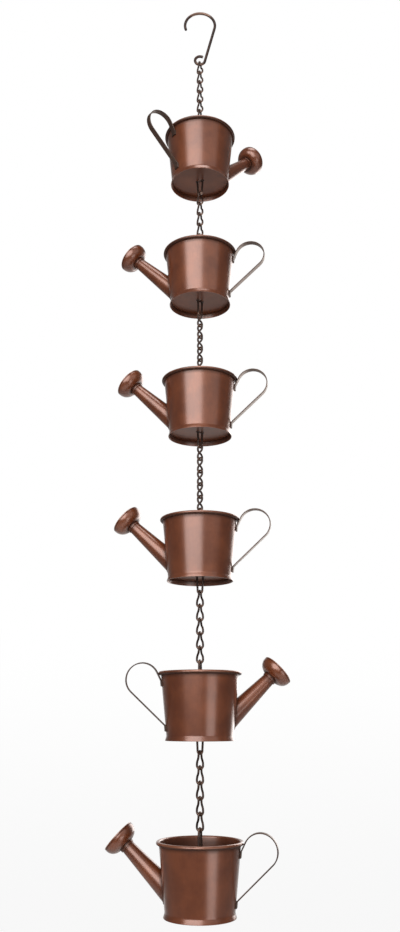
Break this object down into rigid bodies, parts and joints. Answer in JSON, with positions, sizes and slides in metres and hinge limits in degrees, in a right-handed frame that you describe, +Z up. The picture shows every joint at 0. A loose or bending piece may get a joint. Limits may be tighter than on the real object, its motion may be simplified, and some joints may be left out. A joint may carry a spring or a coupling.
{
  "type": "rain chain",
  "caption": "Hanging rain chain of small copper-finish watering cans on twisted wire links, which leads rainwater down from a gutter, can by can, below a wire hook.",
  "frame": {"origin": "the bearing point at the inner top of the hook's bend, on the line of the hanging chain", "axes": "+Z up along the hanging chain, +X to the right as seen from the front, -Y towards the viewer"},
  "size_m": [0.166, 0.1012, 0.9391],
  "materials": {
    "copper_sheet": "satin",
    "bronze_wire": "satin"
  },
  "bodies": {
    "hook": {"hook": "bronze_wire"},
    "run_1": {"chain_run_1": "bronze_wire"},
    "can_1": {"can_1_shell": "copper_sheet", "can_1_floor": "copper_sheet", "can_1_spout": "copper_sheet", "can_1_rose": "copper_sheet", "can_1_rose_face": "copper_sheet", "can_1_handle": "copper_sheet", "can_1_bail": "bronze_wire", "can_1_eye": "bronze_wire"},
    "run_2": {"chain_run_2": "bronze_wire"},
    "can_2": {"can_2_shell": "copper_sheet", "can_2_floor": "copper_sheet", "can_2_spout": "copper_sheet", "can_2_rose": "copper_sheet", "can_2_rose_face": "copper_sheet", "can_2_handle": "copper_sheet", "can_2_bail": "bronze_wire", "can_2_eye": "bronze_wire"},
    "run_3": {"chain_run_3": "bronze_wire"},
    "can_3": {"can_3_shell": "copper_sheet", "can_3_floor": "copper_sheet", "can_3_spout": "copper_sheet", "can_3_rose": "copper_sheet", "can_3_rose_face": "copper_sheet", "can_3_handle": "copper_sheet", "can_3_bail": "bronze_wire", "can_3_eye": "bronze_wire"},
    "run_4": {"chain_run_4": "bronze_wire"},
    "can_4": {"can_4_shell": "copper_sheet", "can_4_floor": "copper_sheet", "can_4_spout": "copper_sheet", "can_4_rose": "copper_sheet", "can_4_rose_face": "copper_sheet", "can_4_handle": "copper_sheet", "can_4_bail": "bronze_wire", "can_4_eye": "bronze_wire"},
    "run_5": {"chain_run_5": "bronze_wire"},
    "can_5": {"can_5_shell": "copper_sheet", "can_5_floor": "copper_sheet", "can_5_spout": "copper_sheet", "can_5_rose": "copper_sheet", "can_5_rose_face": "copper_sheet", "can_5_handle": "copper_sheet", "can_5_bail": "bronze_wire", "can_5_eye": "bronze_wire"},
    "run_6": {"chain_run_6": "bronze_wire"},
    "can_6": {"can_6_shell": "copper_sheet", "can_6_floor": "copper_sheet", "can_6_spout": "copper_sheet", "can_6_rose": "copper_sheet", "can_6_rose_face": "copper_sheet", "can_6_handle": "copper_sheet", "can_6_bail": "bronze_wire"}
  },
  "joints": [
    {"name": "run_1_swing", "type": "hinge", "parent": "hook", "child": "run_1", "pos_m": [0, 0, -0.069], "axis": [1, 0, 0], "range_deg": [-30, 30]},
    {"name": "can_1_swing", "type": "hinge", "parent": "run_1", "child": "can_1", "pos_m": [0, 0, -0.1551], "axis": [0.342, 0.9397, 0], "range_deg": [-30, 30]},
    {"name": "run_2_swing", "type": "hinge", "parent": "can_1", "child": "run_2", "pos_m": [0, 0, -0.2361], "axis": [0.9063, -0.4226, 0], "range_deg": [-30, 30]},
    {"name": "can_2_swing", "type": "hinge", "parent": "run_2", "child": "can_2", "pos_m": [0, 0, -0.2973], "axis": [0.4226, 0.9063, 0], "range_deg": [-30, 30]},
    {"name": "run_3_swing", "type": "hinge", "parent": "can_2", "child": "run_3", "pos_m": [0, 0, -0.3783], "axis": [0.7071, 0.7071, 0], "range_deg": [-30, 30]},
    {"name": "can_3_swing", "type": "hinge", "parent": "run_3", "child": "can_3", "pos_m": [0, 0, -0.4395], "axis": [-0.7071, 0.7071, 0], "range_deg": [-30, 30]},
    {"name": "run_4_swing", "type": "hinge", "parent": "can_3", "child": "run_4", "pos_m": [0, 0, -0.5205], "axis": [0.7071, 0.7071, 0], "range_deg": [-30, 30]},
    {"name": "can_4_swing", "type": "hinge", "parent": "run_4", "child": "can_4", "pos_m": [0, 0, -0.5817], "axis": [-0.7071, 0.7071, 0], "range_deg": [-30, 30]},
    {"name": "run_5_swing", "type": "hinge", "parent": "can_4", "child": "run_5", "pos_m": [0, 0, -0.6627], "axis": [0.9397, -0.342, 0], "range_deg": [-30, 30]},
    {"name": "can_5_swing", "type": "hinge", "parent": "run_5", "child": "can_5", "pos_m": [0, 0, -0.7239], "axis": [0.342, 0.9397, 0], "range_deg": [-30, 30]},
    {"name": "run_6_swing", "type": "hinge", "parent": "can_5", "child": "run_6", "pos_m": [0, 0, -0.8049], "axis": [0.9063, -0.4226, 0], "range_deg": [-30, 30]},
    {"name": "can_6_swing", "type": "hinge", "parent": "run_6", "child": "can_6", "pos_m": [0, 0, -0.8661], "axis": [0.4226, 0.9063, 0], "range_deg": [-30, 30]}
  ]
}
